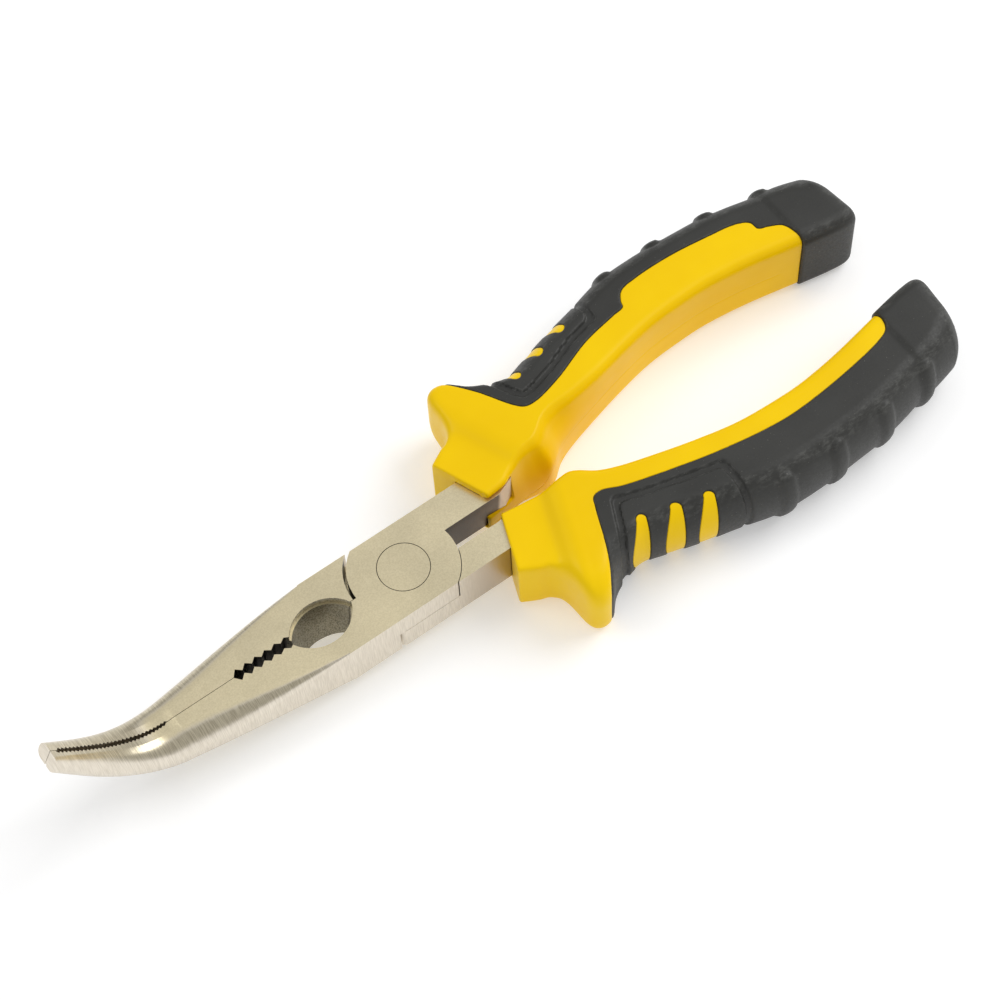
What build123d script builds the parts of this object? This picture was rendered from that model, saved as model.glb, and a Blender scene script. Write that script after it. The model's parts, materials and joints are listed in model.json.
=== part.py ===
from build123d import *
import os

# Bent-nose long-nose pliers, 200 mm: two forged levers in a lap joint, a flush rivet and a
# two-component grip (hard core, soft cover) on each handle.
#
# +X points to the nose, +Z up, and the tool lies on the XY plane, centred on it.
# The lower half of the tool is the upper half turned half a turn about the X direction, so
# every piece is drawn once, in the frame of its lever: jaw on +y, lap plate on +z and
# handle on -y. Only the nose differs, because both jaws bend upwards.

os.makedirs("parts", exist_ok=True)

# Place of the pivot axis and of the tool's middle plane
PIVOT_X = 21.9
PIVOT_Z = 8.6

# Lap joint
STEEL_T = 11.3
HALF_W = 9.0
LAP_R = 11.0
RIVET_R = 5.25
LAP_GAP = 0.10
JAW_GAP = 0.10
TANG_FIT = 0.15
SHOULDER_GAP = 0.70
RIVET_FIT = 0.04
RIVET_EDGE = 0.15

# Tang and the bar that runs on inside the grip
TANG_END = -32.0
TANG_IN_TOP = 1.75
TANG_IN_LOW = 3.0
TANG_STEP = ((-23.3, 1.6), (-33.0, 5.6))
BAR_T = 6.0
BAR = ((-24.0, 5.0, 9.0), (-45.0, 13.2, 19.2), (-76.0, 19.6, 25.6), (-104.0, 17.0, 22.0))
FIT = 0.05

# Jaws: x and z of the middle of a station, its tilt, half width, thickness, corner radius
JAW_ROOT = 18.5
STRAIGHT_JAW = (
    (JAW_ROOT, 0.0, 0.0, 9.0, 11.3, 0.3),
    (27.0, 0.35, 0.0, 8.7, 10.6, 1.5),
    (35.0, 0.45, 0.0, 8.25, 10.4, 2.9),
    (43.0, 0.45, 0.0, 7.6, 10.4, 4.2),
    (52.0, 0.65, 0.0, 6.5, 10.0, 4.6),
)
BENT_JAW = (
    (52.0, 0.65, 0.0, 6.5, 10.0, 4.6),
    (58.7, 2.2, 17.0, 5.6, 7.9, 3.7),
    (63.3, 5.1, 33.0, 4.8, 6.7, 3.1),
    (67.4, 8.9, 42.0, 4.1, 5.9, 2.7),
    (73.8, 16.9, 49.0, 3.2, 4.2, 1.9),
    (78.5, 23.2, 52.0, 2.5, 3.2, 1.4),
)
NOSE_END = (76.6, 20.0)
NOSE_END_TILT = 28.0

# Pipe grip: an oval hole shared by the jaws, narrower below its straight rim.
# Left corner, right corner, reach of the near arc and of the far arc
RIM_T = 1.6
RIM_OVAL = ((12.2, 0.3), (26.4, 0.2), 5.1, -4.3)
WALL_TOP_OVAL = ((12.6, 0.3), (26.0, 0.2), 4.7, -3.9)
WALL_FOOT_OVAL = ((13.0, 1.0), (25.4, 1.0), 4.5, -1.9)
WALL_FOOT_Z = -6.15

# Teeth: the coarse ones open out from the nose end back into the oval hole
COARSE_START = 38.8
COARSE_PITCH = 2.2
COARSE_DEPTH = 1.35
COARSE_COUNT = 6
COARSE_OPEN = 0.35
COARSE_OPENING = 0.07
FINE_PITCH = 1.0
FINE_DEPTH = 0.4
FINE_COUNT = 29
FINE_START = 55.0
FINE_BOW = 0.25

# Grip: x, inner side, outer side of a station, measured out from the middle of the tool
GRIP_HALF = 8.6
GRIP_R_IN = 2.2
GRIP_R_OUT = 6.0
GRIP_CROWN = 0.1
GRIP_BODY = (
    (-30.0, 3.2, 21.5),
    (-36.0, 3.1, 23.1),
    (-46.0, 7.9, 24.8),
    (-61.0, 12.1, 28.7),
    (-76.0, 14.4, 31.0),
    (-92.0, 13.8, 30.4),
    (-107.0, 11.0, 27.5),
    (-126.0, 8.4, 22.0),
)
COVER_T = 1.8
GRIP_END = ((-121.0, 8.0), (-118.8, 24.0))
CORE_END = ((-117.0, 8.0), (-114.8, 24.0))
END_R = 1.8

# Sleeve block in front of the guard
BLOCK_HALF = 6.7
BLOCK_FRONT = ((-16.7, 14.0), (-21.6, 2.0))
BLOCK_BACK = ((-29.6, 3.9), (-36.0, 6.0), (-36.0, 20.0), (-20.5, 15.6))

# Guard fin: a plan outline, cut to a half ellipse seen along the tool
GUARD_OUT = 31.4
GUARD_FLAT = 14.0
GUARD_FRONT = ((-19.0, 14.9), (-22.5, 17.3), (-24.3, 22.5), (-24.7, 28.4), (-26.8, 31.0))
GUARD_BACK = ((-26.8, 31.0), (-29.8, 27.0), (-34.5, 23.2), (-40.0, 22.0))
GUARD_ROOT = ((-40.0, 22.0), (-40.0, 6.5), (-36.0, 4.2), (-27.5, 5.2), (-19.0, 14.9))
GUARD_SPAN = (-45.0, 45.0)
COVER_FRONT = (-28.2, 28.6)
COVER_FRONT_END = (-20.0, 44.6)
FAR_OUT = 60.0
FAR_IN = -5.0
FAR_BACK = -140.0

# Soft cover: where its edge runs on the panel side and on the strip side
CAP_X = -106.3
PANEL_EDGE = ((-38.5, 13.4), (-47.3, 14.4), (-56.9, 17.9), (-67.9, 20.0))
PANEL_LOBE = ((-68.0, 21.5), (-73.0, 23.9), (-88.0, 23.7), (-99.5, 21.6), (-106.3, 14.5))
STRIP_EDGE = ((-38.5, 10.6), (-56.8, 16.3), (-79.2, 19.5), (-99.0, 17.5), (-106.3, 13.5))
WINDOW_X = (-42.1, -49.0, -55.6)
WINDOW_SHAPE = ((0.0, -7.4), (1.9, -7.4), (3.6, -3.0), (3.9, 0.0), (3.6, 3.0), (1.9, 7.4), (0.0, 7.4))
WINDOW_R = 0.4
WINDOW_FOOT = 17.5
RIB_X = (-69.8, -82.4, -95.1, -107.4)
RIB_W = 4.2
RIB_L = 15.0
RIB_H = 0.8
RIB_FOOT = 24.0

# The way round outside the grip, from the guard to the end cap
COVER_RIM = (
    COVER_FRONT,
    COVER_FRONT_END,
    (COVER_FRONT_END[0], FAR_OUT),
    (FAR_BACK, FAR_OUT),
    (FAR_BACK, FAR_IN),
    (CAP_X, FAR_IN),
)

UPPER = Plane(origin=(PIVOT_X, 0, PIVOT_Z))
LOWER = Plane(origin=(PIVOT_X, 0, PIVOT_Z), x_dir=(1, 0, 0), z_dir=(0, 0, -1))
LEVERS = (("upper", UPPER, 1), ("lower", LOWER, -1))


def cross_plane(frame, x, y=0.0, z=0.0, forward=(1, 0, 0), side=(0, 1, 0)):
    """Plane across the tool at a point of a lever's frame, its own x along side."""
    origin = frame.from_local_coords(Vector(x, y, z))
    centre = frame.from_local_coords(Vector(0, 0, 0))
    ahead = frame.from_local_coords(Vector(*forward)) - centre
    across = frame.from_local_coords(Vector(*side)) - centre
    return Plane(origin=origin, x_dir=across, z_dir=ahead)


def jaw_plane(frame, up, x, z, tilt):
    """Plane across the nose, tilted back as the nose rises."""
    ahead = Vector(1, 0, 0).rotate(Axis.Y, -tilt * up)
    return cross_plane(frame, x, z=z * up, forward=(ahead.X, ahead.Y, ahead.Z))


def jaw_section(frame, up, station):
    """Half of a rounded oblong: flat on the bite side, rounded on the outer side."""
    x, z, tilt, half_width, thick, corner = station
    with BuildSketch(jaw_plane(frame, up, x, z, tilt)) as section:
        with Locations(((half_width + JAW_GAP / 2) / 2, 0)):
            Rectangle(half_width - JAW_GAP / 2, thick)
        fillet(section.vertices().group_by(Axis.X)[-1], corner)
    return section.sketch


def grip_section(frame, station, inset):
    """Cross section of the grip: a tight inner side and a well rounded outer side."""
    x, inner, outer = station
    with BuildSketch(cross_plane(frame, x, y=-(inner + outer) / 2)) as section:
        Rectangle(outer - inner - 2 * inset, 2 * (GRIP_HALF + GRIP_CROWN - inset))
        fillet(section.vertices().group_by(Axis.X)[0], GRIP_R_OUT - inset)
        fillet(section.vertices().group_by(Axis.X)[-1], GRIP_R_IN - inset / 2)
    return section.sketch


def out(points):
    """Plan points given as (x, distance out) turned into the lever's own x and y."""
    return [(x, -distance) for x, distance in points]


def side_plane(frame, distance):
    """Plane facing out of the handle's outer side, its own x along the tool."""
    return cross_plane(frame, 0, y=-distance, forward=(0, -1, 0), side=(1, 0, 0))


def handle_steel(frame, fit):
    """Tang and handle bar of a lever, or with a fit the socket that they sit in."""
    half = STEEL_T / 2
    bar = [*BAR[:-1], (BAR[-1][0] - fit, *BAR[-1][1:])]
    with BuildPart() as steel:
        with BuildSketch(cross_plane(frame, TANG_END)):
            with BuildLine():
                Polyline(
                    (-HALF_W, -half),
                    (-HALF_W, half),
                    (-TANG_IN_TOP, half),
                    (-TANG_IN_LOW, -half),
                    close=True,
                )
            make_face()
            if fit:
                offset(amount=fit, kind=Kind.INTERSECTION)
        extrude(amount=-TANG_END)
        with BuildSketch(frame.offset(-STEEL_T)):
            with BuildLine():
                Polyline(
                    *out([(x, inner - fit) for x, inner in TANG_STEP]),
                    (TANG_STEP[1][0], 0),
                    (TANG_STEP[0][0], 0),
                    close=True,
                )
            make_face()
        extrude(amount=2 * STEEL_T, mode=Mode.SUBTRACT)
        with BuildSketch(frame.offset(-BAR_T / 2 - fit)):
            with BuildLine():
                Spline(*out([(x, inner - fit) for x, inner, outer in bar]))
                Line(*out([(bar[-1][0], bar[-1][1] - fit), (bar[-1][0], bar[-1][2] + fit)]))
                Spline(*out([(x, outer + fit) for x, inner, outer in reversed(bar)]))
                Line(*out([(bar[0][0], bar[0][2] + fit), (bar[0][0], bar[0][1] - fit)]))
            make_face()
        extrude(amount=BAR_T + 2 * fit)
    return steel.part


def lens(left, right, near, far):
    """Outline between two arcs that meet at the points left and right."""
    middle = (left[0] + right[0]) / 2
    with BuildLine() as edge:
        ThreePointArc(left, (middle, near), right)
        ThreePointArc(right, (middle, far), left)
    return edge.wires()[0]


def coarse_row(way):
    """One side of the coarse teeth: notch bottoms and tooth tips by turns."""
    row = []
    for number in range(COARSE_COUNT):
        start = COARSE_START - number * COARSE_PITCH
        opening = COARSE_OPEN + number * COARSE_OPENING
        row.append((start - COARSE_PITCH / 2, COARSE_DEPTH * way))
        row.append((start - COARSE_PITCH, opening * way))
    return row


# What both jaws are cut with: the pipe grip's oval hole and the coarse teeth
with BuildPart() as bite:
    with BuildSketch(UPPER.offset(STEEL_T / 2 - RIM_T)):
        add(lens(*RIM_OVAL))
        make_face()
    extrude(amount=2 * RIM_T)
    with BuildSketch(UPPER.offset(STEEL_T / 2 - RIM_T)):
        add(lens(*WALL_TOP_OVAL))
        make_face()
    with BuildSketch(UPPER.offset(WALL_FOOT_Z)):
        add(lens(*WALL_FOOT_OVAL))
        make_face()
    loft()
    with BuildSketch(UPPER.offset(-STEEL_T)):
        Polygon((COARSE_START, 0), *coarse_row(1), *reversed(coarse_row(-1)), align=None)
    extrude(amount=2 * STEEL_T)


def fine_teeth(frame, up):
    """Cutter for the fine cross teeth in the bite of one bent jaw."""
    middle = [(x, 0, z) for x, z, *rest in BENT_JAW]
    nose_line = Spline(*middle)
    with BuildPart() as grooves:
        for number in range(FINE_COUNT):
            phase = number + (0.5 if up > 0 else 0.0)
            along = (FINE_START - middle[0][0] + phase * FINE_PITCH) / nose_line.length
            spot = nose_line.position_at(along)
            ahead = nose_line.tangent_at(along)
            bow = FINE_BOW * (1 - (1.6 * number / FINE_COUNT - 1) ** 2)
            floor = JAW_GAP / 2 + bow
            plane = cross_plane(
                frame,
                spot.X,
                z=spot.Z * up,
                forward=(-ahead.Z * up, 0, ahead.X),
                side=(ahead.X, 0, ahead.Z * up),
            )
            with BuildSketch(plane):
                with BuildLine():
                    Polyline(
                        (-FINE_PITCH / 2, -floor),
                        (-FINE_PITCH / 2, floor),
                        (0, floor + FINE_DEPTH),
                        (FINE_PITCH / 2, floor),
                        (FINE_PITCH / 2, -floor),
                        close=True,
                    )
                make_face()
        extrude(amount=STEEL_T, both=True)
    return grooves.part


for side, frame, up in LEVERS:
    # Forged lever: lap plate, jaw and tang
    with BuildPart() as lever:
        with BuildSketch(frame.offset(LAP_GAP / 2)):
            Circle(LAP_R)
            Rectangle(4 * LAP_R, 2 * HALF_W, mode=Mode.INTERSECT)
        extrude(amount=(STEEL_T - LAP_GAP) / 2)
        with BuildSketch(frame.offset(-STEEL_T / 2)):
            with Locations((JAW_ROOT / 2, (HALF_W + JAW_GAP / 2) / 2)):
                Rectangle(JAW_ROOT, HALF_W - JAW_GAP / 2)
        extrude(amount=STEEL_T)
        add(handle_steel(frame, 0))
        with BuildSketch(frame.offset(LAP_GAP / 2)):
            Circle(LAP_R + SHOULDER_GAP)
            with Locations((-2 * LAP_R, 0)):
                Rectangle(4 * LAP_R, 4 * LAP_R, mode=Mode.SUBTRACT)
            Circle(LAP_R + TANG_FIT)
        extrude(amount=-STEEL_T, mode=Mode.SUBTRACT)
        with BuildSketch(frame.offset(-STEEL_T)):
            Circle(RIVET_R if side == "upper" else RIVET_R + RIVET_FIT)
        extrude(amount=2 * STEEL_T, mode=Mode.SUBTRACT)
        loft(sections=[jaw_section(frame, up, station) for station in STRAIGHT_JAW])
        loft(sections=[jaw_section(frame, up, station) for station in BENT_JAW])
        add(fine_teeth(frame, up), mode=Mode.SUBTRACT)
        split(bisect_by=jaw_plane(frame, up, *NOSE_END, NOSE_END_TILT), keep=Keep.BOTTOM)
        add(bite.part, mode=Mode.SUBTRACT)
    lever.part.label = f"jaw_lever_{side}"
    export_step(lever.part, f"parts/jaw_lever_{side}.step")

    # Guard: a fin on the outer side, seen along the tool as a half ellipse
    with BuildPart() as guard:
        with BuildSketch(frame.offset(-GRIP_HALF)):
            with BuildLine():
                Spline(*out(GUARD_FRONT))
                Spline(*out(GUARD_BACK))
                Polyline(*out(GUARD_ROOT))
            make_face()
        extrude(amount=2 * GRIP_HALF)
        with BuildSketch(cross_plane(frame, GUARD_SPAN[0])):
            with Locations((-GUARD_FLAT, 0)):
                Ellipse(GUARD_OUT - GUARD_FLAT, GRIP_HALF)
            with Locations((-GUARD_FLAT / 2, 0)):
                Rectangle(GUARD_FLAT, 2 * GRIP_HALF)
        extrude(amount=GUARD_SPAN[1], mode=Mode.INTERSECT)

    # Grip as one outer shape, before it is shared out between core and cover
    with BuildPart() as envelope:
        loft(sections=[grip_section(frame, station, 0) for station in GRIP_BODY])
        with BuildSketch(frame.offset(-2 * GRIP_HALF)):
            with BuildLine():
                Polyline(*out([*GRIP_END, (FAR_BACK, FAR_OUT), (FAR_BACK, FAR_IN)]), close=True)
            make_face()
        extrude(amount=4 * GRIP_HALF, mode=Mode.SUBTRACT)
        fillet(envelope.faces().sort_by(Axis.X)[0].edges(), END_R)
        split(bisect_by=frame.offset(GRIP_HALF), keep=Keep.BOTTOM)
        split(bisect_by=frame.offset(-GRIP_HALF), keep=Keep.TOP)
        with BuildSketch(frame.offset(-BLOCK_HALF)):
            with BuildLine():
                Polyline(*out([*BLOCK_FRONT, *BLOCK_BACK]), close=True)
            make_face()
        extrude(amount=2 * BLOCK_HALF)
        add(guard.part)

    # Inside of the soft cover
    with BuildPart() as heart:
        loft(sections=[grip_section(frame, station, COVER_T) for station in GRIP_BODY])
        with BuildSketch(frame.offset(-2 * GRIP_HALF)):
            with BuildLine():
                Polyline(*out([*CORE_END, (FAR_BACK, FAR_OUT), (FAR_BACK, FAR_IN)]), close=True)
            make_face()
        extrude(amount=4 * GRIP_HALF, mode=Mode.SUBTRACT)

    # Space that belongs to the soft cover: a wide panel stays free on one face and a
    # narrow strip on the other
    with BuildPart() as soft:
        with BuildSketch(frame):
            with BuildLine():
                Polyline(*out([PANEL_EDGE[0], *COVER_RIM, PANEL_LOBE[-1]]))
                Spline(*out(PANEL_LOBE))
                Line(*out([PANEL_LOBE[0], PANEL_EDGE[-1]]))
                Spline(*out(PANEL_EDGE))
            make_face()
        extrude(amount=2 * GRIP_HALF)
        with BuildSketch(frame):
            with BuildLine():
                Polyline(*out([STRIP_EDGE[0], *COVER_RIM, STRIP_EDGE[-1]]))
                Spline(*out(STRIP_EDGE))
            make_face()
        extrude(amount=-2 * GRIP_HALF)

    # Tapered windows through the cover, where the core comes up flush
    with BuildPart() as windows:
        with BuildSketch(side_plane(frame, WINDOW_FOOT)) as window_shapes:
            with Locations(*[(x, 0) for x in WINDOW_X]):
                Polygon(*WINDOW_SHAPE, align=None)
            fillet(window_shapes.vertices(), WINDOW_R)
        extrude(amount=FAR_OUT)
        add(envelope.part, mode=Mode.INTERSECT)

    # Finger ribs that follow the round of the outer side
    with BuildPart() as ribs:
        with BuildSketch(side_plane(frame, RIB_FOOT)):
            with Locations(*[(x, 0) for x in RIB_X]):
                SlotOverall(RIB_L, RIB_W, rotation=90)
        extrude(amount=FAR_OUT)
        with BuildPart(mode=Mode.INTERSECT):
            loft(sections=[grip_section(frame, station, -RIB_H) for station in GRIP_BODY])
        add(heart.part, mode=Mode.SUBTRACT)

    with BuildPart() as core:
        add(envelope.part)
        add(soft.part, mode=Mode.SUBTRACT)
        add(heart.part)
        add(windows.part)
        add(handle_steel(frame, FIT), mode=Mode.SUBTRACT)
    core.part.label = f"grip_core_{side}"
    export_step(core.part, f"parts/grip_core_{side}.step")

    with BuildPart() as cover:
        add(envelope.part)
        add(soft.part, mode=Mode.INTERSECT)
        add(heart.part, mode=Mode.SUBTRACT)
        add(windows.part, mode=Mode.SUBTRACT)
        add(ribs.part)
    cover.part.label = f"grip_cover_{side}"
    export_step(cover.part, f"parts/grip_cover_{side}.step")

with BuildPart() as rivet:
    with BuildSketch(UPPER.offset(-STEEL_T / 2)):
        Circle(RIVET_R)
    extrude(amount=STEEL_T)
    chamfer(rivet.edges().filter_by(GeomType.CIRCLE), RIVET_EDGE)
rivet.part.label = "pivot_rivet"
export_step(rivet.part, "parts/pivot_rivet.step")
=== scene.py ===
import json
import math

import bmesh
import bpy
import numpy as np
from mathutils import Matrix, Vector


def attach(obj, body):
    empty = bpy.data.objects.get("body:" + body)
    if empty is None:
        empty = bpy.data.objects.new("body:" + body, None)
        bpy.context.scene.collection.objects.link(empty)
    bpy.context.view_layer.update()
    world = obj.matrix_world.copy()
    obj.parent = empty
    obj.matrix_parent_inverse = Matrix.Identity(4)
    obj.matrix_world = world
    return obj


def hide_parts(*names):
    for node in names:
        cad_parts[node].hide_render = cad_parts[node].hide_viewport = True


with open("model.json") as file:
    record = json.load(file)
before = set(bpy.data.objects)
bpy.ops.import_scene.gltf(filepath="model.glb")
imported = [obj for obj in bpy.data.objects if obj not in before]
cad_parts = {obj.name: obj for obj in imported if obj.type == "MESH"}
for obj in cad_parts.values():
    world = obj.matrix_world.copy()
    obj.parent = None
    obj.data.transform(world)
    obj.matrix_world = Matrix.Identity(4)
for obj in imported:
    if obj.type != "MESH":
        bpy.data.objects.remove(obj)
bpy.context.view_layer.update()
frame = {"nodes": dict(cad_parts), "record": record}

MM = 0.001
PIVOT = np.array(frame["record"]["behaviour"]["joints"][0]["pos_m"])

# Grips, in millimetres from the pivot: points are (x, distance out from the middle)
SPINE = ((-19.1, 8.0), (-28.4, 11.6), (-37.8, 15.1), (-46, 17.6), (-61, 20.9), (-76, 22.6),
         (-92, 22.2), (-104, 19.9), (-111, 18.4), (-115.5, 17.8), (-118.9, 18.1))
OUTER_SIDE = ((-16.7, 14.3), (-20.1, 16.2), (-22, 17), (-23.3, 18.6), (-24, 20.9), (-24.2, 24.2),
              (-24.4, 26.3), (-25.1, 27.7), (-26.4, 28.4), (-28, 28.3), (-29.2, 27.6),
              (-30.5, 26.2), (-32, 24.7), (-34.6, 23.3), (-40, 23), (-44, 24.2), (-52, 26.6),
              (-60.3, 28.6), (-68.4, 30.7), (-78, 31.2), (-88.8, 30.7), (-94, 30.3),
              (-100.3, 29.2), (-106, 27.9), (-113, 26.5), (-117, 25.6), (-123, 24.3))
INNER_SIDE = ((-21.6, 2), (-25.5, 2.5), (-29.6, 2.9), (-32, 3.1), (-34.4, 2.9), (-37, 2.8),
              (-38.7, 3.6), (-41.7, 5.9), (-45.4, 7.6), (-53.3, 10), (-61.4, 12.1),
              (-70, 13.8), (-79.4, 14.4), (-84.4, 14.4), (-90, 13.9), (-95.7, 13.1),
              (-101.7, 12), (-108.4, 10.7), (-114.3, 9.7), (-121, 9.1))
# Knots of (distance along the spine, value): half height, inner corner radius, where the
# rounded outer side starts and how boxy it is, how far the panel half leans out, and the
# height of the parting line
STRIP_HEIGHT = ((0, 6.7), (6.5, 6.7), (8.2, 6.95), (10.3, 8.0), (12, 8.5), (14, 8.6), (18, 8.6),
                (110, 8.6))
PANEL_HEIGHT = ((0, 7.6), (6.5, 7.6), (8.2, 7.75), (10.3, 8.3), (12, 8.55), (14, 8.6), (18, 8.6),
                (110, 8.6))
INNER_ROUND = ((0, 1.1), (6, 1.3), (9, 1.8), (13, 2.2), (18, 2.4), (26, 2.2), (110, 2.2))
ROUND_FROM = ((0, 0.8), (6, 1.3), (9, 2.6), (13, 1.4), (16, 1.6), (19, 3.2), (22, 3.7), (26, 3.0))
STRIP_BOXY = ((0, 14), (6, 12), (8, 7), (9.5, 5.4), (11.5, 4), (13.2, 3.4), (15, 3.2), (16.8, 3),
              (18.5, 2.6), (20.5, 2.3), (24, 2.05), (30, 2), (110, 2))
PANEL_BOXY = ((0, 14), (6, 12), (8, 8), (9.5, 8), (11.5, 8.5), (13.2, 9.5), (15, 10), (16.8, 10),
              (18.5, 8), (20.5, 4.4), (22.5, 2.5), (26, 2.05), (30, 2), (110, 2))
PANEL_LEAN = ((0, 0), (4.2, 0), (6.5, 0.8), (10, 1.9), (14, 3), (19, 3.2), (23, 2.6), (28, 1.2),
              (34, 0.3), (38, 0), (110, 0))
LEAN_REACH = 7.0  # how deep the lean goes in from the inner side
PARTING = ((0, -5.4), (11, -5.2), (13, -4.2), (15.5, -0.4), (17.5, -0.1), (24, -0.8), (110, -0.9))
PARTING_DEPTH = 0.08
PARTING_FADE = 15  # the parting line runs out this far before the end
# The guard and block end and the plain handle begins here, over a blend
HANDLE_FROM = 20
HANDLE_BLEND = 8
KNOTS_END = 26
ROUND_LENGTH = 5.2  # width of the rounded outer side along the handle
END_SOFT = 2.2  # more rounding at the very end
END_BLEND = 10
FRONT_R = 0.4  # edge radius at the block's front
END_R = 2.7  # edge radius at the handle's end
# Stations along the grip: close at the block and the guard, closer at the windows
BLOCK_END = 16
WINDOWS_END = 50
BLOCK_STEP = 0.28
WINDOWS_STEP = 0.21
HANDLE_STEP = 0.5
# Tang where it enters the block, and the pocket round it
TANG_MIDDLE = 5.6
TANG_REACH = 3.4
TANG_HALF = 5.65
TANG_GAP = 0.2
POCKET_DEPTH = 1.2
# Cut in the block's inner side that leaves the tang's steel bare
CUT_LENGTH = 6.6
CUT_LOW = -1.8
CUT_HIGH = 6.3
CUT_DEPTH = 1.7
# Edges of the soft cover on the panel face and on the strip face
PANEL_LINE = ((-20, 44.5), (-28.2, 28.8), (-33.3, 21.2), (-37, 14.9), (-38.6, 13.3), (-41, 13),
              (-47.5, 14.5), (-57, 18), (-65, 19.6), (-67.8, 20.1), (-68.3, 21.4), (-70, 23.4),
              (-74, 24.1), (-82, 24.2), (-91, 23.3), (-98.5, 22), (-100.6, 20.6), (-101, 18.6),
              (-103, 17.7), (-105.5, 16.2), (-106.5, 13), (-106.4, 8), (-106.3, -5))
STRIP_LINE = ((-20, 44.5), (-28.2, 28.8), (-31.4, 23.6), (-36, 12.9), (-37.1, 10.9), (-39, 10.6),
              (-43, 12.3), (-52, 14.9), (-62, 17.3), (-73, 19.1), (-80, 19.5), (-92.5, 18.5),
              (-103, 16.7), (-105.8, 15.5), (-106.8, 13.3), (-106.4, 10), (-106.3, -5))
FRONT_LINE = ((-37, 11), (-28.3, 28.5))
COVER_OUT = 13  # the windows lie further out than this
# How far the hard core sinks under the soft cover, and how proud the cover stands
CORE_SINK = 1.0
UNDER_GAP = 0.03
PROUD = 0.18
# Depth of both surfaces across the cover's edge, by distance inside it
CORE_RIM = ((-0.22, 0), (-0.08, -0.02), (0.0, -0.12), (0.05, -CORE_SINK))
COVER_RIM = ((0.05, -0.08), (0.15, PROUD * 0.6), (0.35, PROUD))
COVER_START = 0.05
# The cap over the handle's end stands a little prouder
CAP_FROM = -105.8
CAP_BLEND = 1.2
CAP_PROUD = 0.3
# Windows in the cover: rear ends, half width at the tips and the extra at the middle,
# half length, where the round tip starts, and how the window bows
WINDOWS = (-42.1, -49.0, -55.6)
WINDOW_HALF = 1.1
WINDOW_SWELL = 0.85
WINDOW_LENGTH = 9
WINDOW_TIP = 8.9
WINDOW_SHIFT = 0.6
WINDOW_BOW = 1.1
# Moat round the windows: distances from the cover's edge, the front line and its rear end
MOAT_EDGE = 1.7
MOAT_FRONT = 2.9
MOAT_REAR = -62.4
MOAT_CORNER = 1.6
MOAT_DEPTH = 0.6
MOAT_SLOPE = 0.6
MOAT_WIDTH = 1.5
MOAT_RISE = 0.35
# Ribs across the back of the handle
RIBS = (-69.8, -82.4, -95.1, -107.4)
RIB_HALF = 2.1
RIB_REACH = 8.3
RIB_HIGH = 0.8
RIB_SOFT = 0.35
RIB_OUT = 12
# Points round a section: inner side, inner corner, flat face and rounded outer side
INNER_SHARES = (0, 0.03, 0.07)
INNER_COUNT = 17
CORNER_COUNT = 8
FACE_COUNT = 40
OUTER_COUNT = 58
SHARP_ANGLE = 50

# Hollows in the steel that get painted shade, in metres from the pivot: where each starts and
# is full along the tool, where it fades again, and how far it reaches aside
OVAL_ZONE = ((0.0105, 0.0109), (0.0268, 0.0265), (0.0062, 0.0058))
TANG_ZONE = ((-0.0095, -0.0100), (-0.0245, -0.0235), (0.0062, 0.0058))
TEETH_ZONE = ((0.0262, 0.0266), (0.0402, 0.0400), (0.0017, 0.0015))
LAP_RADIUS = (0.0121, 0.0119)
LAP_REACH = (0.0083, 0.0080)
# Where the painted dark reflection band on the nose's shoulders starts
NOSE_START = (0.015, 0.03)
# Where painted shade comes onto the tang towards the grips
TANG_SHADE = (-0.004, -0.014)
# Where the hollows' painted shade turns from the jaw's to the tang's
HOLLOW_SHADE_SWITCH = (0.0, -0.004)
# Colours, darker and lighter
# Flat faces tinted warmer and flanks paler as a painted reflection; the speckle and lines are the
# steel's own
FACE_STEEL_REFLECTION = ((0.75, 0.655, 0.43), (0.86, 0.76, 0.52))
FLANK_STEEL_REFLECTION = ((0.66, 0.60, 0.50), (0.80, 0.735, 0.63))
# Painted dark reflection band on the nose's shoulders
SHOULDER_DARK_REFLECTION = ((0.42, 0.37, 0.27), (0.62, 0.56, 0.42))
# Painted shade on the tang near the grips, browned as a painted reflection of the yellow
TANG_FLANK_SHADE = (0.56, 0.49, 0.41)
# Painted shade in the hollows: the jaw's hole (speckled), between the tangs, the lap gap and the
# teeth
OVAL_HOLLOW_SHADE = ((0.16, 0.145, 0.105), (0.36, 0.33, 0.25))
TANG_HOLLOW_SHADE = (0.075, 0.053, 0.038)
LAP_GAP_SHADE = (0.035, 0.030, 0.024)
TEETH_GAP_SHADE = (0.026, 0.021, 0.016)
YELLOW = ((0.88, 0.56, 0.0003), (0.93, 0.615, 0.0006))
RUBBER = ((0.022, 0.022, 0.0195), (0.031, 0.031, 0.028))
# Lighter band on the rubber's shoulders: scuffs and painted sheen
RUBBER_SCUFF_SHEEN = (0.08, 0.08, 0.074)
RUBBER_SPECK = (0.13, 0.125, 0.11)
PAPER = ((0.80, 0.80, 0.80), (0.83, 0.83, 0.83))
# Middle of a noise texture's values, where most of them lie
NOISE = (0.3, 0.7)


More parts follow.
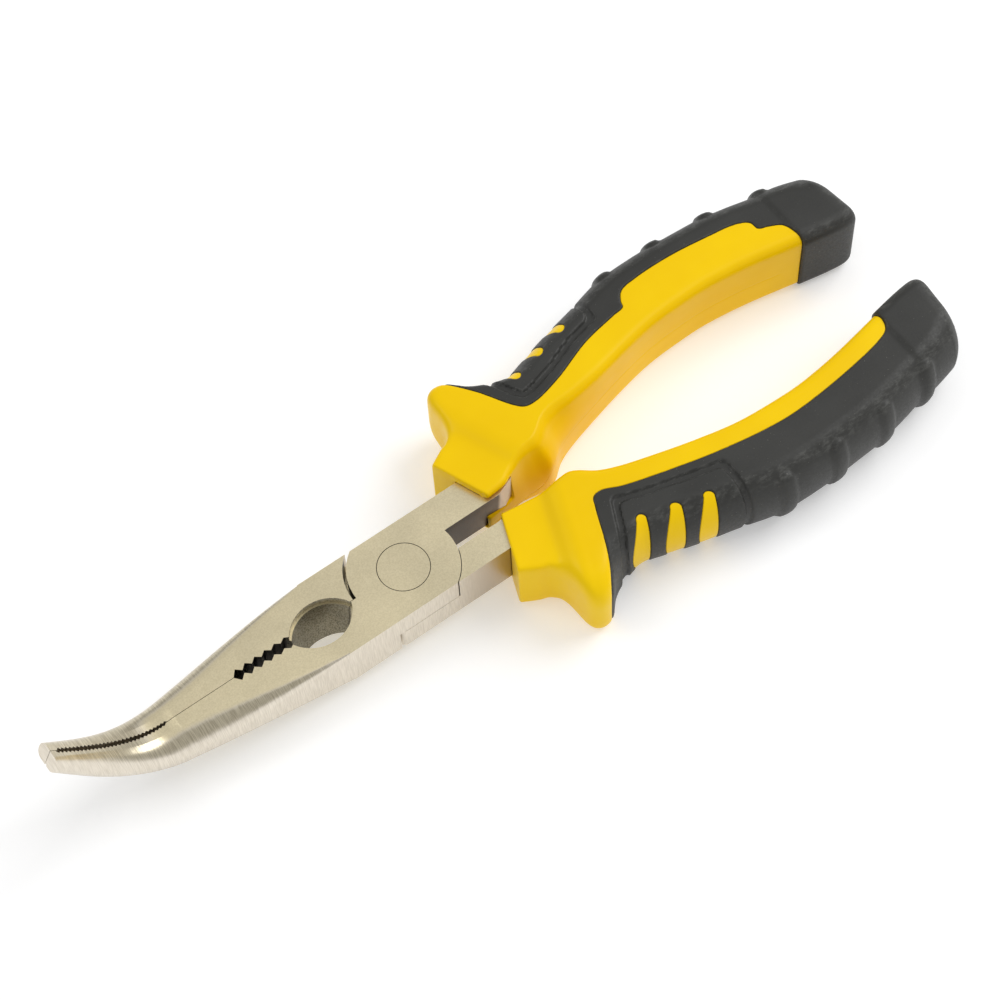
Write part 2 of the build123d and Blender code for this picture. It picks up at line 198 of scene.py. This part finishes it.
def smooth_line(points, step=0.1):
    """Centripetal Catmull-Rom curve through the points, sampled about every step."""
    p = np.array(points, float)
    chord = np.linalg.norm(np.diff(p, axis=0), axis=1)
    t = np.concatenate([[0], np.cumsum(np.sqrt(chord))])
    span = np.diff(t)[:, None]
    slope = np.diff(p, axis=0) / span
    tangent = np.empty_like(p)
    tangent[0], tangent[-1] = slope[0], slope[-1]
    tangent[1:-1] = (slope[:-1] * span[1:] + slope[1:] * span[:-1]) / (span[1:] + span[:-1])
    parts = []
    for i in range(len(p) - 1):
        u = np.linspace(0, 1, max(3, int(chord[i] / step)), endpoint=False)[:, None]
        parts.append(
            (1 + 2 * u) * (1 - u) ** 2 * p[i]
            + u * (1 - u) ** 2 * span[i] * tangent[i]
            + u * u * (3 - 2 * u) * p[i + 1]
            + u * u * (u - 1) * span[i] * tangent[i + 1]
        )
    return np.concatenate([*parts, p[-1:]])


def along(s, knots):
    """Smooth value at each s from (s, value) knots."""
    line = smooth_line(knots, 0.25)
    return np.interp(s, line[:, 0], line[:, 1])


def smooth_step(x):
    x = np.clip(x, 0, 1)
    return x * x * (3 - 2 * x)


def soft_min(a, b, r):
    """The smaller of two fields, rounded over a distance r."""
    h = np.clip(0.5 + 0.5 * (b - a) / r, 0, 1)
    return b * (1 - h) + a * h - r * h * (1 - h)


def signed_offset(points, line):
    """Distance of plan points from a line, positive on its left as it runs away from the nose."""
    tangent = np.gradient(line, axis=0)
    tangent /= np.linalg.norm(tangent, axis=1)[:, None]
    normal = np.stack([tangent[:, 1], -tangent[:, 0]], 1)
    result = np.empty(len(points))
    for start in range(0, len(points), 4000):
        p = points[start : start + 4000]
        gap = ((p[:, None, :] - line[None]) ** 2).sum(2)
        near = gap.argmin(1)
        side = ((p - line[near]) * normal[near]).sum(1)
        away = np.sqrt(gap[np.arange(len(p)), near])
        result[start : start + 4000] = np.where(np.abs(side) > 0.7 * away, side, np.sign(side) * away)
    return result


def outer_arc(n_round, n_out, half, boxy):
    """Rounded outer side of a section as evenly spaced points, from the flat face out."""
    phi = np.linspace(math.pi / 2, 0, 240)
    power = 2 / boxy
    fine_n = n_round + (n_out - n_round) * np.cos(phi) ** power
    fine_z = half * np.sin(phi) ** power
    fine_n[-1], fine_z[-1] = n_out, 0
    fine_n[0], fine_z[0] = n_round, half
    path = np.concatenate([[0], np.cumsum(np.hypot(np.diff(fine_n), np.diff(fine_z)))])
    at = np.linspace(0, path[-1], OUTER_COUNT + 1)
    return np.interp(at, path, fine_n), np.interp(at, path, fine_z)


def grip_grid():
    """Outside of one grip as a grid of points: stations from the block to the end, each a
    closed loop that starts at the parting line on the inner side. Also the distance of each
    point round the section from the middle of the outer side."""
    spine = smooth_line(SPINE)
    run = np.concatenate([[0], np.cumsum(np.linalg.norm(np.diff(spine, axis=0), axis=1))])
    ahead = np.gradient(spine, axis=0)
    ahead /= np.linalg.norm(ahead, axis=1)[:, None]
    outward = np.stack([ahead[:, 1], -ahead[:, 0]], 1)
    length = run[-1]

    def beside(points):
        line = smooth_line(points)
        near = ((line[:, None, :] - spine[None]) ** 2).sum(2).argmin(1)
        gap = line - spine[near]
        s = run[near] + (gap * ahead[near]).sum(1)
        order = np.argsort(s, kind="stable")
        return s[order], (gap * outward[near]).sum(1)[order]

    front = FRONT_R * (1 - np.cos(np.linspace(0, math.pi / 2, 6)))
    stations = np.concatenate([
        front[:-1],
        np.arange(FRONT_R, BLOCK_END, BLOCK_STEP),
        np.arange(BLOCK_END, WINDOWS_END, WINDOWS_STEP),
        np.arange(WINDOWS_END, length - END_R, HANDLE_STEP),
        length - END_R + END_R * np.sin(np.linspace(0, math.pi / 2, 12)),
    ])
    inset = np.zeros(len(stations))
    near_front = stations < FRONT_R
    inset[near_front] = FRONT_R - np.sqrt(FRONT_R**2 - (FRONT_R - stations[near_front]) ** 2)
    into_end = np.clip(stations - (length - END_R), 0, END_R)
    inset += END_R - np.sqrt(np.maximum(END_R**2 - into_end**2, 0))

    n_out = np.interp(stations, *beside(OUTER_SIDE)) - inset
    n_in = np.interp(stations, *beside(INNER_SIDE)) + inset
    heights = {1: along(stations, PANEL_HEIGHT) - inset, -1: along(stations, STRIP_HEIGHT) - inset}
    round_in = np.maximum(along(stations, INNER_ROUND) - 0.3 * inset, 0.3)
    boxiness = {1: along(stations, PANEL_BOXY), -1: along(stations, STRIP_BOXY)}
    from_knots = along(np.minimum(stations, KNOTS_END), ROUND_FROM)
    handle = smooth_step((stations - HANDLE_FROM) / HANDLE_BLEND)
    near_end = END_SOFT * smooth_step((stations - length + END_BLEND) / END_BLEND)
    n_round = from_knots * (1 - handle) + (n_out - ROUND_LENGTH - near_end + inset * 0.6) * handle
    lean = along(stations, PANEL_LEAN)
    parting = along(stations, PARTING)

    inner = np.array([*INNER_SHARES, *np.linspace(0.12, 1, INNER_COUNT, endpoint=False)])
    corner = np.linspace(0, math.pi / 2, CORNER_COUNT, endpoint=False)
    top = np.linspace(0, 1, FACE_COUNT, endpoint=False)
    count = len(stations)
    halves = []
    for sign in (1, -1):
        half, boxy = heights[sign], boxiness[sign]
        start_z = parting[:, None] * sign
        flat_z = (half - round_in)[:, None]
        z = [start_z + (flat_z - start_z) * inner[None]]
        n = [np.repeat(n_in[:, None], len(inner), 1)]
        z.append(flat_z + round_in[:, None] * np.sin(corner)[None])
        n.append((n_in + round_in)[:, None] - round_in[:, None] * np.cos(corner)[None])
        n.append((n_in + round_in)[:, None] + (n_round - n_in - round_in)[:, None] * top[None])
        z.append(np.repeat(half[:, None], len(top), 1))
        arcs = [outer_arc(*values) for values in zip(n_round, n_out, half, boxy)]
        n.append(np.array([arc[0] for arc in arcs]))
        z.append(np.array([arc[1] for arc in arcs]))
        n, z = np.concatenate(n, 1), np.concatenate(z, 1)
        n[:, 0] += PARTING_DEPTH * smooth_step(length - PARTING_FADE - stations)
        if sign > 0:
            cut = smooth_step((CUT_LENGTH - stations) / 0.5)[:, None]
            cut = cut * smooth_step((z - CUT_LOW) / 0.8)
            n = n + CUT_DEPTH * cut * smooth_step((CUT_HIGH - z) / 0.5) * (n < n_in[:, None] + 1)
            rise = (z - parting[:, None]) / (half - parting)[:, None]
            reach = 1 - smooth_step((n - n_in[:, None]) / LEAN_REACH)
            n = n + lean[:, None] * smooth_step(np.clip(rise, 0, 1)) * reach
        halves.append((n, z * sign))
    (n_up, z_up), (n_low, z_low) = halves
    n = np.concatenate([n_up, n_low[:, -2:0:-1]], 1)
    z = np.concatenate([z_up, z_low[:, -2:0:-1]], 1)
    middle = np.stack([np.interp(stations, run, spine[:, k]) for k in (0, 1)], 1)
    side = np.stack([np.interp(stations, run, outward[:, k]) for k in (0, 1)], 1)
    side /= np.linalg.norm(side, axis=1)[:, None]
    x = middle[:, 0:1] + side[:, 0:1] * n
    out = middle[:, 1:2] + side[:, 1:2] * n
    tip = len(n_up[0]) - 1
    step = np.sqrt(np.diff(x, axis=1) ** 2 + np.diff(out, axis=1) ** 2 + np.diff(z, axis=1) ** 2)
    path = np.concatenate([np.zeros((count, 1)), np.cumsum(step, axis=1)], 1)
    girth = path[:, tip : tip + 1] - path
    return np.stack([x, out, z], 2), girth


def grid_normals(grid):
    """Outward normals of a grid that closes round its second direction."""
    across = np.roll(grid, -1, 1) - np.roll(grid, 1, 1)
    lengthwise = np.gradient(grid, axis=0)
    normal = np.cross(lengthwise, across)
    normal /= np.linalg.norm(normal, axis=2)[:, :, None]
    centre = grid.mean(1, keepdims=True)
    if ((grid - centre) * normal).sum(2).mean() < 0:
        normal = -normal
    return normal


def cover_field(points, girth):
    """How far inside the soft cover's area each point lies, with and without the windows."""
    plan = points[:, :2]
    line_panel, line_strip = smooth_line(PANEL_LINE), smooth_line(STRIP_LINE)
    weight = smooth_step((points[:, 2] + 3) / 6)
    field = signed_offset(plan, line_panel) * weight + signed_offset(plan, line_strip) * (1 - weight)
    edge = field.copy()
    outside = points[:, 1] > COVER_OUT
    to_tip = np.clip(girth / WINDOW_LENGTH, -1, 1) ** 2
    half_width = WINDOW_HALF + WINDOW_SWELL * (1 - to_tip)
    past_tip = np.clip(np.abs(girth) - WINDOW_TIP, 0, None)
    for rear in WINDOWS:
        centre = rear + half_width + WINDOW_SHIFT - WINDOW_BOW * to_tip
        gap = np.hypot(points[:, 0] - centre, past_tip) - half_width
        field = np.where(outside, np.minimum(field, gap), field)
    return field, edge


def relief(points, girth, edge):
    """Height of the moat round the windows and of the ribs, over the plain outside."""
    a, b = np.array(FRONT_LINE[0]), np.array(FRONT_LINE[1])
    way = (b - a) / np.linalg.norm(b - a)
    normal = np.array([-way[1], way[0]])
    front = (points[:, :2] - a) @ normal
    inside = soft_min(edge - MOAT_EDGE, front - MOAT_FRONT, MOAT_CORNER)
    inside = soft_min(inside, points[:, 0] - MOAT_REAR, MOAT_CORNER)
    step_down = smooth_step(inside / MOAT_SLOPE)
    step_up = smooth_step((inside - MOAT_WIDTH) / MOAT_RISE)
    height = -MOAT_DEPTH * (step_down - step_up)
    for x in RIBS:
        u = (points[:, 0] - x) / RIB_HALF
        v = np.clip((np.abs(girth) - RIB_REACH + RIB_HALF) / RIB_HALF, 0, None)
        r2 = u * u + v * v
        shape = np.sqrt(np.clip(1 - r2, 0, 1)) * smooth_step((1 - np.sqrt(r2)) / RIB_SOFT)
        height = height + RIB_HIGH * shape * (points[:, 1] > RIB_OUT)
    return height


def split_along(values, faces, field_column, levels):
    """Cuts faces where a column of the point values crosses each level."""
    values = list(values)
    for level in levels:
        made = {}
        result = []
        f = np.array([v[field_column] for v in values]) - level
        f[np.abs(f) < 1e-4] = 1e-4

        def crossing(i, j):
            key = (min(i, j), max(i, j))
            if key not in made:
                t = f[i] / (f[i] - f[j])
                made[key] = len(values)
                values.append(values[i] * (1 - t) + values[j] * t)
            return made[key]

        for face in faces:
            signs = [f[i] > 0 for i in face]
            if all(signs) or not any(signs):
                result.append(face)
                continue
            above, below = [], []
            for k, i in enumerate(face):
                j = face[(k + 1) % len(face)]
                (above if signs[k] else below).append(i)
                if signs[k] != signs[(k + 1) % len(face)]:
                    c = crossing(i, j)
                    above.append(c)
                    below.append(c)
            result += [above, below]
        faces = result
    return np.array(values), faces


def band(before, after):
    """Quads between two closed rings of point numbers."""
    turns = zip(before, before[1:] + before[:1], after[1:] + after[:1], after)
    return [list(corners) for corners in turns]


grid, girth = grip_grid()
rows, columns = grid.shape[:2]
normal = grid_normals(grid)
flat_points = grid.reshape(-1, 3)
field, edge = cover_field(flat_points, girth.ravel())
raised = relief(flat_points, girth.ravel(), edge)
values = [flat_points, normal.reshape(-1, 3), field[:, None], raised[:, None]]
FIELD_COLUMN = 6
rings = [list(range(i * columns, (i + 1) * columns)) for i in range(rows)]
first_ring, last_ring = rings[0], rings[-1]
quads = [quad for before, after in zip(rings, rings[1:]) for quad in band(before, after)]
plain, near = [], []
for quad in quads:
    depths = [field[k] for k in quad]
    (near if min(depths) < 0.5 and max(depths) > -0.4 else plain).append(quad)
levels = sorted({depth for depth, height in CORE_RIM + COVER_RIM})
values, cut = split_along(np.concatenate(values, 1), near, FIELD_COLUMN, levels)
faces = plain + cut
base, along_normal, depth, lift = values[:, :3], values[:, 3:6], values[:, 6], values[:, 7]
core_level = np.interp(depth, *zip(*CORE_RIM)) + lift * (depth < 0.02)
cover_level = np.interp(depth, *zip(*COVER_RIM)) + lift
cap_proud = CAP_PROUD * smooth_step((CAP_FROM - base[:, 0]) / CAP_BLEND)
cover_level += cap_proud * smooth_step(depth / 0.4)
cover_faces = [f for f in faces if np.mean([depth[i] for i in f]) > COVER_START]


def to_row(points, turned):
    """Millimetres (x, out, z) in a lever's frame to metres in the row frame."""
    y = points[:, 1] * (1 if turned else -1)
    z = points[:, 2] * (-1 if turned else 1)
    return np.stack([points[:, 0], y, z], 1) * MM + PIVOT


def closing_disc(points, ring, faces, centre_pull=(0.8, 0.55, 0.3, 0.12)):
    """Adds rings and a fan that close an end loop."""
    points = list(points)
    middle = np.mean([points[i] for i in ring], axis=0)
    before = ring
    for share in centre_pull:
        new = list(range(len(points), len(points) + len(ring)))
        points += [middle + (points[i] - middle) * share for i in ring]
        faces += band(before, new)
        before = new
    points.append(middle)
    faces += [[i, j, len(points) - 1] for i, j in zip(before, before[1:] + before[:1])]
    return np.array(points), faces


def pocketed_front(points, ring, faces):
    """Closes the block's front with a pocket that the tang sits in."""
    points = list(points)
    front = np.array([points[i] for i in ring])
    across = front[front[:, 1].argmax()] - front[front[:, 1].argmin()]
    across[2] = 0
    across /= np.linalg.norm(across)
    middle = front.mean(0)
    middle = middle + across * (TANG_MIDDLE - middle[1]) / across[1]
    middle[2] = 0
    from_middle = front - middle
    reach_out = np.abs(from_middle[:, 1]) / (TANG_REACH + TANG_GAP)
    reach_up = np.abs(from_middle[:, 2]) / (TANG_HALF + TANG_GAP)
    share = 1 / np.maximum(np.maximum(reach_out, reach_up), 1.03)
    mouth = middle + from_middle * share[:, None]
    inward = np.array([-across[1], across[0], 0]) * POCKET_DEPTH
    before = ring
    for loop in (mouth, mouth + inward):
        new = list(range(len(points), len(points) + len(ring)))
        points += list(loop)
        faces += band(before, new)
        before = new
    return closing_disc(points, before, faces)


def make_piece(name, points, faces, turned, material):
    """Smooth mesh object from the faces, turned over for the lower lever."""
    data = bpy.data.meshes.new(name)
    row = to_row(points, turned)
    used = sorted({i for f in faces for i in f})
    number = {old: new for new, old in enumerate(used)}
    data.from_pydata(row[used].tolist(), [], [[number[i] for i in f] for f in faces])
    data.update()
    bm = bmesh.new()
    bm.from_mesh(data)
    bmesh.ops.recalc_face_normals(bm, faces=bm.faces)
    bm.to_mesh(data)
    bm.free()
    data.polygons.foreach_set("use_smooth", [True] * len(data.polygons))
    data.set_sharp_from_angle(angle=math.radians(SHARP_ANGLE))
    piece = bpy.data.objects.new(name, data)
    bpy.context.scene.collection.objects.link(piece)
    data.materials.append(material)
    return piece


def rim_walls(faces, offset):
    """Quads that join the open edges of a set of faces to its copy at an index offset."""
    seen = {}
    for f in faces:
        for k in range(len(f)):
            a, b = f[k], f[(k + 1) % len(f)]
            if (b, a) in seen:
                del seen[(b, a)]
            else:
                seen[(a, b)] = True
    return [[b, a, a + offset, b + offset] for a, b in seen]


class Surface:
    """A procedural material that is put together from textures in the piece's own space."""

    def __init__(self, name):
        self.material = bpy.data.materials.new(name)
        self.material.use_nodes = True
        self.tree = self.material.node_tree
        self.shader = self.tree.nodes["Principled BSDF"]
        self.place = self.tree.nodes.new("ShaderNodeTexCoord")

    def wire(self, source, target):
        self.tree.links.new(source, target)

    def grain(self, per_metre, detail=2.0, rough=0.5, stretch=(1, 1, 1)):
        """Noise with so many cells a metre, stretched along the axes."""
        scale = self.tree.nodes.new("ShaderNodeMapping")
        scale.inputs["Scale"].default_value = stretch
        self.wire(self.place.outputs["Object"], scale.inputs["Vector"])
        noise = self.tree.nodes.new("ShaderNodeTexNoise")
        noise.inputs["Scale"].default_value = per_metre
        noise.inputs["Detail"].default_value = detail
        noise.inputs["Roughness"].default_value = rough
        self.wire(scale.outputs["Vector"], noise.inputs["Vector"])
        return noise.outputs["Fac"]

    def spread(self, source, low, high, to_low=0.0, to_high=1.0):
        """Maps the range low..high of a value to another one, with soft ends."""
        node = self.tree.nodes.new("ShaderNodeMapRange")
        node.interpolation_type = "SMOOTHSTEP"
        node.inputs["From Min"].default_value = low
        node.inputs["From Max"].default_value = high
        node.inputs["To Min"].default_value = to_low
        node.inputs["To Max"].default_value = to_high
        self.wire(source, node.inputs["Value"])
        return node.outputs["Result"]

    def work(self, operation, a, b=None):
        node = self.tree.nodes.new("ShaderNodeMath")
        node.operation = operation
        self.wire(a, node.inputs[0])
        if b is not None:
            self.wire(b, node.inputs[1])
        return node.outputs["Value"]

    def both(self, *masks):
        """Where all the masks hold."""
        result = masks[0]
        for mask in masks[1:]:
            result = self.work("MULTIPLY", result, mask)
        return result

    def most(self, *masks):
        """Where any of the masks holds."""
        result = masks[0]
        for mask in masks[1:]:
            result = self.work("MAXIMUM", result, mask)
        return result

    def radius(self, a, b):
        squares = self.work("MULTIPLY", a, a), self.work("MULTIPLY", b, b)
        return self.work("SQRT", self.work("ADD", *squares))

    def blend(self, factor, first, second):
        """Mixes two colours, each given as numbers or as a socket."""
        node = self.tree.nodes.new("ShaderNodeMix")
        node.data_type = "RGBA"
        self.wire(factor, node.inputs[0])
        for socket, value in ((node.inputs[6], first), (node.inputs[7], second)):
            if isinstance(value, tuple):
                socket.default_value = (*value, 1)
            else:
                self.wire(value, socket)
        return node.outputs[2]

    def upright(self):
        """How far the surface faces up or down: 1 on the flat faces, 0 on the sides."""
        parts = self.tree.nodes.new("ShaderNodeSeparateXYZ")
        self.wire(self.place.outputs["Normal"], parts.inputs[0])
        return self.work("ABSOLUTE", parts.outputs["Z"])

    def plan(self, pivot):
        """Distance ahead of the pivot and distance from the tool's middle, in metres."""
        parts = self.tree.nodes.new("ShaderNodeSeparateXYZ")
        moved = self.tree.nodes.new("ShaderNodeMapping")
        moved.inputs["Location"].default_value = tuple(-c for c in pivot)
        self.wire(self.place.outputs["Object"], moved.inputs["Vector"])
        self.wire(moved.outputs["Vector"], parts.inputs[0])
        return parts.outputs["X"], self.work("ABSOLUTE", parts.outputs["Y"])

    def bump(self, heights):
        """Chains bumps from (height, strength, distance in metres)."""
        before = None
        for height, strength, distance in heights:
            node = self.tree.nodes.new("ShaderNodeBump")
            node.inputs["Strength"].default_value = strength
            node.inputs["Distance"].default_value = distance
            self.wire(height, node.inputs["Height"])
            if before is not None:
                self.wire(before, node.inputs["Normal"])
            before = node.outputs["Normal"]
        self.wire(before, self.shader.inputs["Normal"])

    def finish(self, colour, roughness, metallic=0.0, specular=0.5):
        self.wire(colour, self.shader.inputs["Base Color"])
        self.wire(roughness, self.shader.inputs["Roughness"])
        self.shader.inputs["Metallic"].default_value = metallic
        self.shader.inputs["Specular IOR Level"].default_value = specular
        return self.material


def zone(look, x, reach, edges):
    """Mask of a hollow: starts and ends along the tool, and reaches so far aside."""
    start, end, aside = edges
    return look.both(look.spread(x, *start), look.spread(x, *end), look.spread(reach, *aside))


def satin_nickel(pivot):
    """Ground and plated steel: speckled flat faces and finely lined sides in tints that differ as a
    painted reflection, a painted dark reflection band on the nose's shoulders, painted shade on the
    tang and painted shade in the hollows.
    """
    look = Surface("satin_nickel")
    speckle = look.grain(3200, 3, 0.65)
    lines = look.grain(600, 2, 0.6, stretch=(12, 0.5, 0.5))
    clouds = look.grain(70, 3)
    x, reach = look.plan(pivot)
    upright = look.upright()

    # The flat faces and the flanks are tinted apart by how they face, as a painted reflection
    face = look.blend(look.spread(speckle, *NOISE), *FACE_STEEL_REFLECTION)
    flank = look.blend(look.spread(lines, *NOISE), *FLANK_STEEL_REFLECTION)
    # Painted dark reflection band on the nose's shoulders, over the ground lines
    below_flat = look.spread(upright, 0.97, 0.88)
    shoulder = look.both(look.spread(upright, 0.45, 0.7), below_flat, look.spread(x, *NOSE_START))
    shoulder_reflection = look.blend(look.spread(lines, 0.35, 0.65), *SHOULDER_DARK_REFLECTION)
    flank = look.blend(shoulder, flank, shoulder_reflection)
    # Painted shade, browned as a painted reflection of the yellow, on the tang towards the grips
    flank = look.blend(look.spread(x, *TANG_SHADE), flank, TANG_FLANK_SHADE)
    colour = look.blend(look.spread(upright, 0.9, 0.99), flank, face)

    oval = zone(look, x, reach, OVAL_ZONE)
    tang = zone(look, x, reach, TANG_ZONE)
    teeth = zone(look, x, reach, TEETH_ZONE)
    lap = look.both(look.spread(look.radius(x, reach), *LAP_RADIUS), look.spread(reach, *LAP_REACH))
    # Painted shade in the hollows: the jaw's hole, between the tangs, the lap gap and the teeth
    hollow = look.both(look.most(oval, tang, teeth, lap), look.spread(upright, 0.9, 0.8))
    hollow_shade = look.blend(look.spread(speckle, 0.35, 0.6), *OVAL_HOLLOW_SHADE)
    hollow_shade = look.blend(look.spread(x, *HOLLOW_SHADE_SWITCH), hollow_shade, TANG_HOLLOW_SHADE)
    hollow_shade = look.blend(lap, hollow_shade, LAP_GAP_SHADE)
    hollow_shade = look.blend(teeth, hollow_shade, TEETH_GAP_SHADE)
    colour = look.blend(hollow, colour, hollow_shade)

    roughness = look.spread(clouds, *NOISE, 0.28, 0.38)
    look.bump(((lines, 0.4, 0.00003), (speckle, 0.25, 0.00002)))
    return look.finish(colour, roughness, metallic=1.0)


def yellow_plastic():
    """Satin moulded plastic with faint flow clouds and fine scratches."""
    look = Surface("yellow_plastic")
    clouds = look.grain(45, 3)
    skin = look.grain(2600, 2, 0.6)
    scratches = look.grain(300, 4, 0.7, stretch=(0.5, 3, 3))
    colour = look.blend(look.spread(clouds, *NOISE), *YELLOW)
    roughness = look.spread(scratches, 0.35, 0.7, 0.28, 0.38)
    look.bump(((skin, 0.10, 0.00003), (scratches, 0.06, 0.00003)))
    return look.finish(colour, roughness, specular=0.13)


def black_rubber():
    """Soft cover: fine grain, pale specks and a lighter band along the shoulders, partly scuffs and
    partly painted sheen.
    """
    look = Surface("black_rubber")
    skin = look.grain(2200, 3, 0.65)
    clouds = look.grain(60, 3)
    specks = look.spread(look.grain(3000, 1), 0.74, 0.80)
    upright = look.upright()
    # Lighter band on the shoulders: scuffs and painted sheen
    scuffs_and_sheen = look.spread(look.grain(700, 5, 0.75, stretch=(0.5, 1, 1)), 0.42, 0.75)
    shoulder = look.both(look.spread(upright, 0.35, 0.75), look.spread(upright, 0.998, 0.9))
    base = look.blend(look.spread(clouds, *NOISE), *RUBBER)
    scuffed_sheen = look.blend(look.both(shoulder, scuffs_and_sheen), base, RUBBER_SCUFF_SHEEN)
    colour = look.blend(specks, scuffed_sheen, RUBBER_SPECK)
    roughness = look.spread(skin, *NOISE, 0.44, 0.58)
    look.bump(((skin, 0.25, 0.00005), (scuffs_and_sheen, 0.06, 0.00003)))
    return look.finish(colour, roughness, specular=0.38)


def floor_paper():
    """White paper with a faint fibre, lit a little from within so that it stays white."""
    look = Surface("floor_paper")
    clouds = look.grain(6, 2)
    fibre = look.grain(900, 3)
    colour = look.blend(look.spread(clouds, *NOISE), *PAPER)
    look.bump(((fibre, 0.05, 0.00005),))
    look.shader.inputs["Emission Color"].default_value = (1, 1, 1, 1)
    look.shader.inputs["Emission Strength"].default_value = 0.3
    return look.finish(colour, look.spread(fibre, *NOISE, 0.85, 0.95), specular=0.2)


steel = satin_nickel(PIVOT)
yellow = yellow_plastic()
rubber = black_rubber()

for node in ("jaw_lever_upper", "jaw_lever_lower", "pivot_rivet"):
    obj = frame["nodes"][node]
    obj.data.materials.clear()
    obj.data.materials.append(steel)

core_points = base + along_normal * core_level[:, None]
outer_points = base + along_normal * cover_level[:, None]
inner_points = base + along_normal * (-CORE_SINK + UNDER_GAP)
for side, turned in (("upper", False), ("lower", True)):
    points, made = closing_disc(core_points, last_ring, list(faces))
    points, made = pocketed_front(points, first_ring, made)
    core = make_piece(f"grip_body_{side}", points, made, turned, yellow)
    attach(core, f"{side}_half")
    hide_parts(f"grip_core_{side}")
    points, made = closing_disc(outer_points, last_ring, list(cover_faces))
    deep, under = closing_disc(inner_points, last_ring, list(cover_faces))
    offset = len(points)
    walls = rim_walls(made, offset)
    both = np.concatenate([points, deep])
    under = [[i + offset for i in reversed(f)] for f in under]
    cover = make_piece(f"grip_sleeve_{side}", both, made + under + walls, turned, rubber)
    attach(cover, f"{side}_half")
    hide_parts(f"grip_cover_{side}")

# Camera, floor and light
CAMERA_PLACE = Vector((110.52, 209.67, 452.53))  # millimetres from the pivot
CAMERA_AIM = Vector((-24.93, -3.33, 0))
CAMERA_ROLL = -4.11  # degrees
LENS = 95.477
SENSOR = 36
FLOOR_REACH = 3.0
FLOOR_DROP = 0.0005  # the soft covers stand this far below the bottom of the frame
WORLD_LIGHT = 0.61
KEY_LIGHT = 5.6
NOSE_LIGHT = 1.0

camera_data = bpy.data.cameras.new("camera")
camera_data.lens = LENS
camera_data.sensor_width = SENSOR
camera_data.clip_start = 0.01
camera_data.clip_end = 10
camera = bpy.data.objects.new("camera", camera_data)
bpy.context.scene.collection.objects.link(camera)
place = CAMERA_PLACE * MM + Vector(PIVOT)
level = (CAMERA_AIM - CAMERA_PLACE).to_track_quat("-Z", "Y").to_matrix().to_4x4()
roll = Matrix.Rotation(math.radians(CAMERA_ROLL), 4, "Z")
camera.matrix_world = Matrix.Translation(place) @ level @ roll
bpy.context.scene.camera = camera

floor_data = bpy.data.meshes.new("floor")
quarter_turns = ((-1, -1), (1, -1), (1, 1), (-1, 1))
corners = [(x * FLOOR_REACH, y * FLOOR_REACH, 0) for x, y in quarter_turns]
floor_data.from_pydata(corners, [], [(0, 1, 2, 3)])
floor = bpy.data.objects.new("floor", floor_data)
floor_data.materials.append(floor_paper())
bpy.context.scene.collection.objects.link(floor)
floor.location = (0, 0, -FLOOR_DROP)

world = bpy.data.worlds.new("studio")
bpy.context.scene.world = world
world.use_nodes = True
world.node_tree.nodes["Background"].inputs["Color"].default_value = (1, 1, 1, 1)
world.node_tree.nodes["Background"].inputs["Strength"].default_value = WORLD_LIGHT


def area_light(name, place, target, size, power):
    """Square or oblong lamp at a place, aimed at a target."""
    data = bpy.data.lights.new(name, "AREA")
    data.shape = "RECTANGLE"
    data.size, data.size_y = size
    data.energy = power
    lamp = bpy.data.objects.new(name, data)
    lamp.location = place
    lamp.rotation_mode = "QUATERNION"
    lamp.rotation_quaternion = (Vector(target) - Vector(place)).to_track_quat("-Z", "Y")
    bpy.context.scene.collection.objects.link(lamp)


area_light("key", (-0.75, 0.05, 0.75), (0, 0, 0), (0.7, 0.7), KEY_LIGHT)
area_light("nose_side", (0.45, -0.35, 0.8), (-0.02, 0, 0), (0.35, 0.35), NOSE_LIGHT)
bpy.context.scene.view_settings.view_transform = "Standard"
